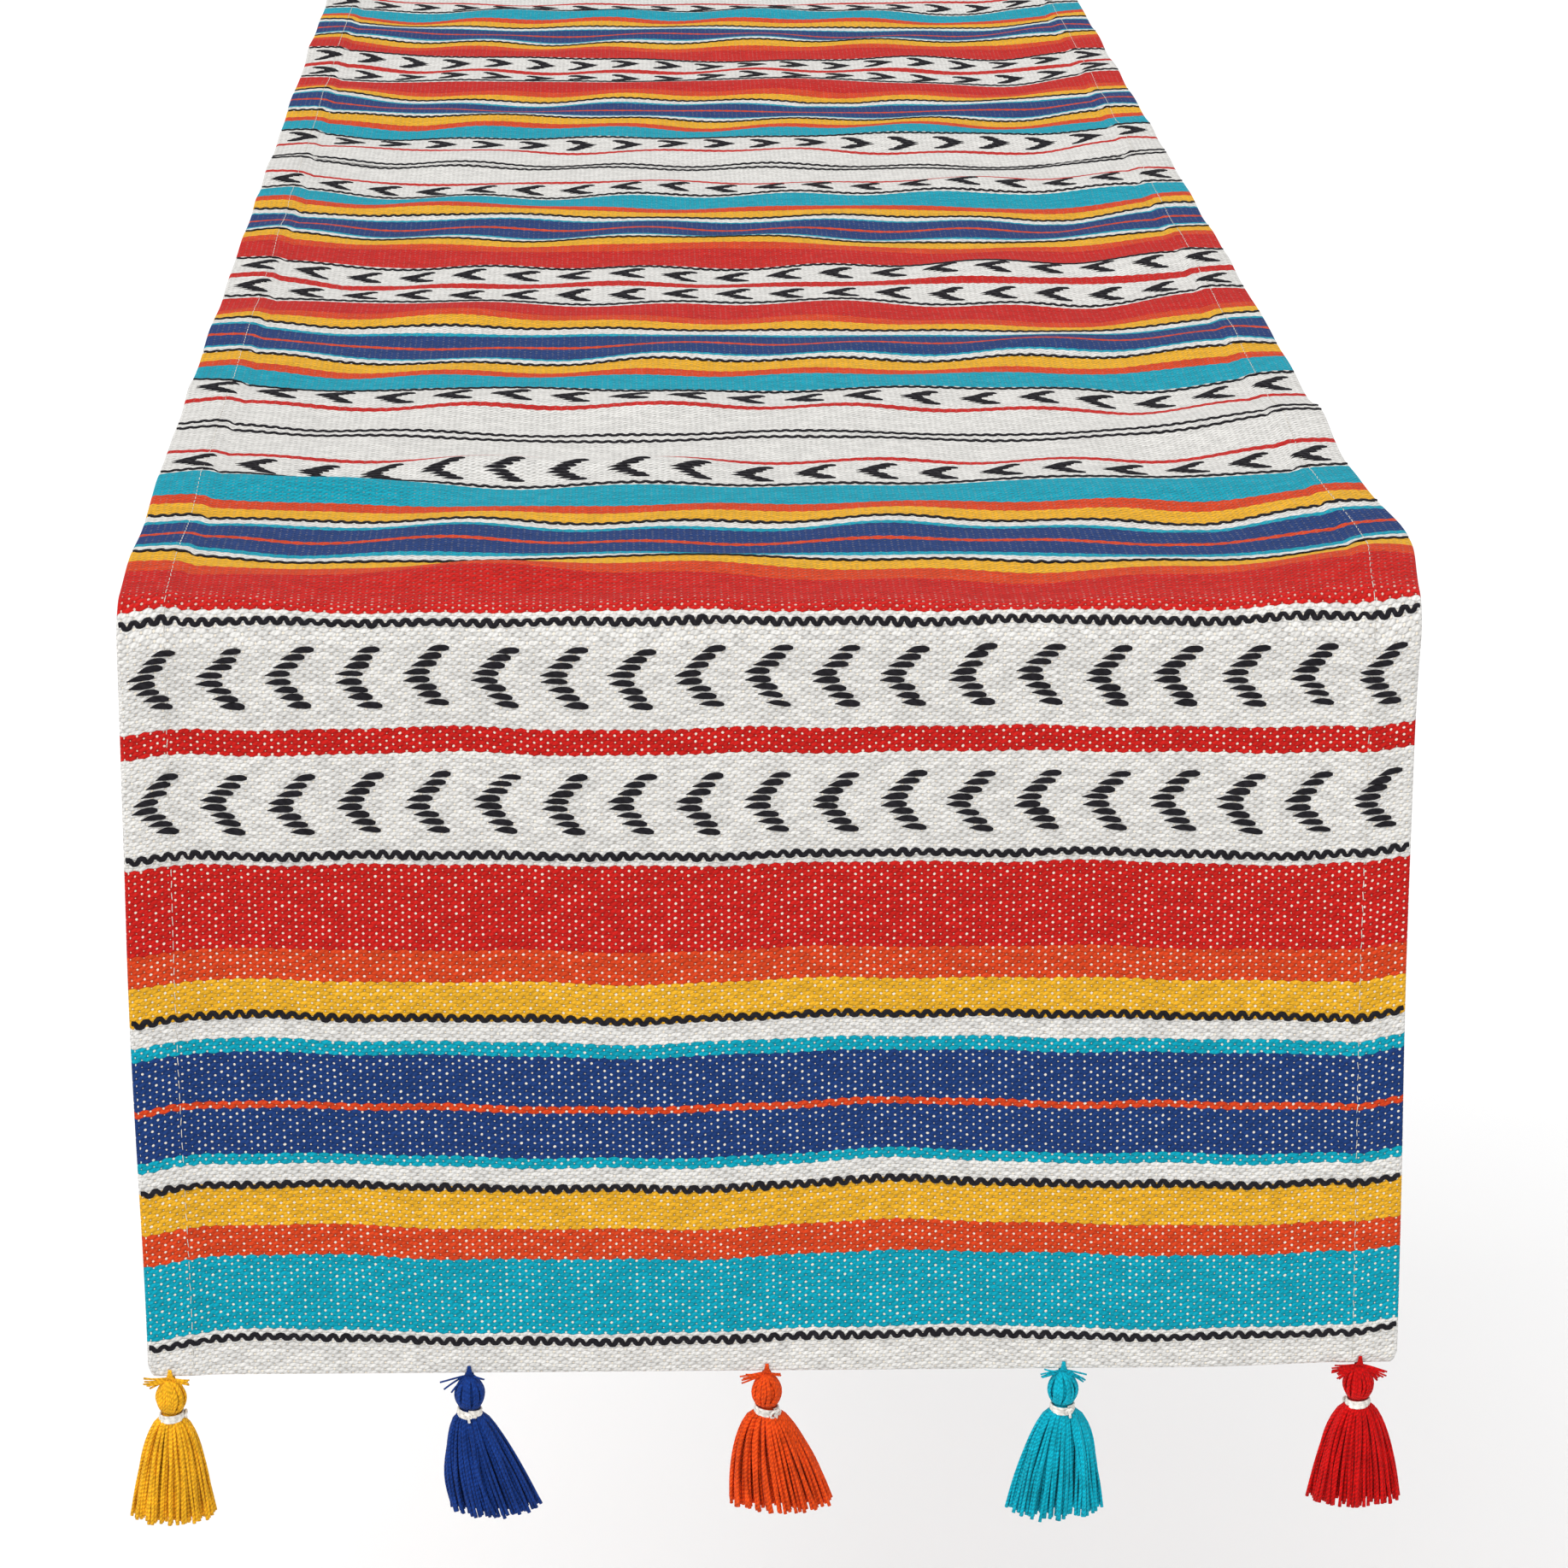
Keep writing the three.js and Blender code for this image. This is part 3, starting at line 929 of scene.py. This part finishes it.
def skirt_lines(tassel, draw):
    """The loose yarns below the binding, as (yarns, points, 3)."""
    count = round(17 * tassel.half_width)
    radius, angle = oval_spread(count, draw)
    share = np.linspace(0, 1, 13)[None, :]
    length = SKIRT_LENGTH + tassel.extra + draw.normal(0, 0.26, (count, 1))
    length = length - 1.6 * (1 - radius[:, None] ** 2)
    flare = share**0.62 * (1 - 0.22 * share) / 0.78
    wide = NECK_RADIUS + (tassel.half_width - NECK_RADIUS) * flare
    deep = NECK_RADIUS + (SKIRT_FLATNESS * tassel.half_width - NECK_RADIUS) * flare
    stray = draw.normal(0, 0.32, (count, 2, 1)) * share**2
    curl = draw.normal(0, 0.22, (count, 2, 1))
    curl = curl * np.sin(share * math.pi * draw.uniform(1, 2.5, (count, 1, 1)))
    reach = radius[:, None]
    x = reach * wide * np.cos(angle)[:, None] + tassel.lean * share**1.25 + stray[:, 0] + curl[:, 0]
    y = reach * deep * np.sin(angle)[:, None] + stray[:, 1] + curl[:, 1]
    z = HEAD_TOP - HEAD_HEIGHT - NECK_HEIGHT / 2 - share * (length + NECK_HEIGHT / 2)
    z = z + 0.9 * share * (reach * np.cos(angle)[:, None]) ** 2
    return np.stack([x, y, z], axis=-1)


def head_radius(share):
    """The head's radius, from its top (0) to the binding (1)."""
    tip = 0.6
    bulge = 3.8
    return tip + bulge * np.sin(math.pi * (0.02 + 0.82 * share)) ** 0.75


def head_lines(draw):
    """The yarns that fold over the tie and run down the outside of the head."""
    count = 40
    share = np.linspace(0, 1, 11)[None, :]
    angle = (np.arange(count) / count * TAU)[:, None] + draw.normal(0, 0.05, (count, 1))
    angle = angle + 0.22 * np.sin(share * math.pi) * draw.normal(1, 0.6, (count, 1))
    radius = head_radius(share) - 0.3 + draw.normal(0, 0.1, (count, 1)) * np.sin(share * math.pi)
    z = np.broadcast_to(HEAD_TOP - share * HEAD_HEIGHT, angle.shape)
    return np.stack([radius * np.cos(angle), radius * np.sin(angle), z], axis=-1)


def add_core(yarns):
    """A filled middle under the head's yarns and in the neck."""
    z = np.linspace(HEAD_TOP - 0.3, HEAD_TOP - HEAD_HEIGHT - NECK_HEIGHT, 12)
    share = np.clip((HEAD_TOP - z) / HEAD_HEIGHT, 0, 1)
    radius = np.where(share < 1, head_radius(share) - 0.55, NECK_RADIUS)
    line = np.stack([np.zeros_like(z), np.zeros_like(z), z], axis=-1)
    yarns.add(line[None], (0.0, 1.0, 0.0), radius[None], radius[None])


def outward_of(lines):
    """Directions away from the tassel's middle line."""
    away = lines.copy()
    away[..., 2] = 0
    return unit(away + [1e-4, 0, 0])


def make_hank(name, tassel, material, draw):
    """The head and the skirt, as yarns round a filled middle. Each cut end is a little fluffed."""
    yarns = Yarns(6)
    add_core(yarns)
    head = head_lines(draw)
    yarns.add(head, outward_of(head), 0.44, 0.36)
    skirt = skirt_lines(tassel, draw)
    fluff = 0.47 * (1 + 0.22 * smooth_step((np.linspace(0, 1, skirt.shape[1]) - 0.9) / 0.1))
    yarns.add(skirt, outward_of(skirt), fluff[None], 0.95 * fluff[None])
    return yarns.piece(name, material)


def make_binding(name, tassel, material):
    """White cotton wound four times round the neck and knotted."""
    yarns = Yarns(8)
    turns = 4
    steps_per_turn = 20
    coil_height = 2.1
    knot_angle = math.radians(tassel.knot_angle)
    angle = knot_angle + np.linspace(0, turns * TAU, turns * steps_per_turn + 1)
    share = np.linspace(0, 1, len(angle))
    radius = NECK_RADIUS + 0.7 + 0.1 * np.sin(angle * 1.7)
    middle = HEAD_TOP - HEAD_HEIGHT - NECK_HEIGHT / 2
    x = radius * np.cos(angle)
    z = middle + (0.5 - share) * coil_height - x * math.tan(math.radians(tassel.binding_tip))
    coil = np.stack([x, radius * np.sin(angle), z], axis=-1)
    yarns.add(coil[None], outward_of(coil)[None], 0.42, 0.34)
    knot = knot_lines(NECK_RADIUS + 0.9, knot_angle, coil[len(coil) // 2, 2], tassel.knot_size)
    yarns.add(knot, (0.0, 0.0, 1.0), 0.38, 0.38)
    return yarns.piece(name, material)


def knot_lines(radius, angle, z, size):
    """Two interlocked loops and a short tail, standing on the outside of the binding."""
    around = np.linspace(0, TAU, 17)
    out = np.array([math.cos(angle), math.sin(angle), 0])
    beside = np.array([-math.sin(angle), math.cos(angle), 0])
    up = np.array([0, 0, 1.0])
    middle = out * (radius + 0.5) + up * z
    loops = [
        middle
        + np.outer(np.cos(around) * 0.62 * size, beside + 0.5 * way * up)
        + np.outer(np.sin(around) * 0.78 * size, up * 0.8 - 0.4 * way * beside + 0.3 * out)
        + way * 0.42 * size * beside
        for way in (-1, 1)
    ]
    fall = np.linspace(0, 1, 17) * size
    tail = middle + np.outer(fall * 0.7, out * 0.3 + beside * 0.5) - np.outer(fall**1.3 * 2.2, up)
    return np.stack([*loops, tail])


def make_tie(name, tassel, material, draw):
    """The yarn that goes through the hem and is knotted on top of the head."""
    yarns = Yarns(6)
    share = np.linspace(0, 1, 11)
    rise = KNOT_DROP * (1 - share)
    strands = 5
    reach = TURN + 0.75
    for way in (-1, 1):
        y = way * reach * np.sin(np.minimum(0.12 + share, 1) ** 0.5 * math.pi) ** 0.7
        for strand in np.linspace(-1, 1, strands):
            x = strand * (0.2 + 1.3 * share**1.5)
            line = np.stack([x, y, rise - 0.3 * share], axis=-1)
            yarns.add(line[None], (0.0, float(way), 0.0), 0.3, 0.22)
    add_cut_ends(yarns, tassel.colour, draw)
    return yarns.piece(name, material)


# The bunches that each tassel's cut tie ends make: which way each points (-1 is left), how many
# yarns it has, their length, and how far it points above level in degrees.
CUT_ENDS = {
    "yellow": [(-1, 6, 7.4, 0), (-1, 4, 6.6, -14), (1, 4, 5.6, 2)],
    "blue": [(-1, 1, 8.2, -6), (-1, 1, 8.4, -24), (-1, 1, 7.4, -38), (1, 2, 4.2, -8)],
    "orange": [(-1, 5, 7.6, -8), (-1, 1, 6.8, 5), (1, 2, 4.2, 2)],
    "turquoise": [(-1, 4, 6.4, -3), (-1, 1, 5.6, 8), (1, 4, 6.8, -16)],
    "red": [(-1, 5, 8.0, -3), (-1, 4, 7.4, -27), (1, 5, 7.8, -12), (1, 4, 7.0, -34)],
}


def add_cut_ends(yarns, colour, draw):
    """The tie's cut ends, which spread out above the knot."""
    share = np.linspace(0, 1, 9)
    spacing = 0.46
    for way, count, length, degrees in CUT_ENDS[colour]:
        bend = draw.uniform(-0.9, 0.1)
        forward = draw.uniform(1.2, 2.0)
        for strand in range(count):
            beside = (strand - (count - 1) / 2) * spacing * (0.3 + 0.7 * share)
            angle = math.radians(degrees + draw.normal(0, 2.5))
            reach = length * draw.uniform(0.88, 1.04)
            x = way * (reach * share * math.cos(angle) + beside * abs(math.sin(angle)))
            z = 1.0 + reach * share**1.6 * math.sin(angle) + bend * share**2 + beside * math.cos(angle)
            y = -forward * np.sin(share * math.pi * 0.6) + draw.normal(0, 0.12) * share
            line = np.stack([x, y, z], axis=-1)
            thick = (0.32 - 0.05 * share)[None]
            yarns.add(line[None], (0.0, -1.0, 0.0), thick, 0.75 * thick)


def tassel_x(index):
    """How far across the cloth this tassel is. They are evenly spaced about the middle."""
    middle = (len(TASSELS) - 1) / 2
    pitch = (HALF_WIDTH - TASSEL_INSET) / middle
    return (index - middle) * pitch


def make_tassel(end, side, index, materials):
    """One tassel's hank, binding and tie, each on its body."""
    tassel = TASSELS[index]
    x = tassel_x(index)
    in_side_hem = abs(x) > HALF_WIDTH - SIDE_FOLD
    out = PANEL_Y + (HEM_STACK / 2 if in_side_hem else -GAP / 2)
    knot = np.array([x, -out, HEM_Z + HOLE_RISE - KNOT_DROP + corner_rise(x, 0)])
    number = index + 1
    name = f"{end}_tassel_{number}"
    draw = np.random.default_rng(100 + number + (50 if side < 0 else 0))
    yarn_material = materials[tassel.colour]
    hank = make_hank(f"{name}_hank", tassel, yarn_material, draw)
    binding = make_binding(f"{name}_wound_binding", tassel, materials["binding"])
    tie = make_tie(f"{name}_knotted_tie", tassel, yarn_material, draw)
    turn = Matrix.Identity(4) if side > 0 else Matrix.Rotation(math.pi, 4, "Z")
    for piece in (hank, binding, tie):
        piece.data.transform(turn @ Matrix.Translation(knot * MM))
    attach(hank, name)
    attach(binding, name)
    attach(tie, f"{name}_tie")
    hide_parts(f"{name}_yarn")
    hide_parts(f"{name}_binding")
    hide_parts(f"{name}_tie")


# ---------------------------------------------------------------- putting it together


def make_end(end, side, materials):
    """Half of the runner's cloth with its threads, and the tassels of its end."""
    cloth = make_cloth(end, side, materials["cloth"])
    lines = make_black_lines(end, side, materials["black"])
    arrows = make_arrows(end, side, materials["black"])
    stitches = make_stitches(end, side, materials["stitches"])
    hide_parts("top_cloth", f"{end}_drop_cloth")
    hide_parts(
        "top_left_seam",
        "top_right_seam",
        f"{end}_drop_left_seam",
        f"{end}_drop_right_seam",
        f"{end}_hem_seam",
    )
    for piece in (cloth, lines, arrows, stitches):
        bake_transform(piece)
    for index in range(len(TASSELS)):
        make_tassel(end, side, index, materials)


def make_materials():
    materials = {name: twisted_yarn(f"yarn_{name}", colour) for name, colour in YARN_COLOURS.items()}
    materials["cloth"] = woven_cotton()
    materials["black"] = twisted_yarn("black_cotton", BLACK, turn=2.6)
    materials["stitches"] = twisted_yarn("sewing_thread", THREAD, dark=0.85, turn=0.8, depth=0.03)
    materials["binding"] = twisted_yarn("binding_cotton", BINDING, dark=0.82, turn=1.6, depth=0.06)
    return materials


make_camera()
make_studio()
make_floor()
all_materials = make_materials()
make_end("front", 1, all_materials)
make_end("back", -1, all_materials)

boxes = [[list(corner) for corner in box] for box in (cad_box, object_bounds())]
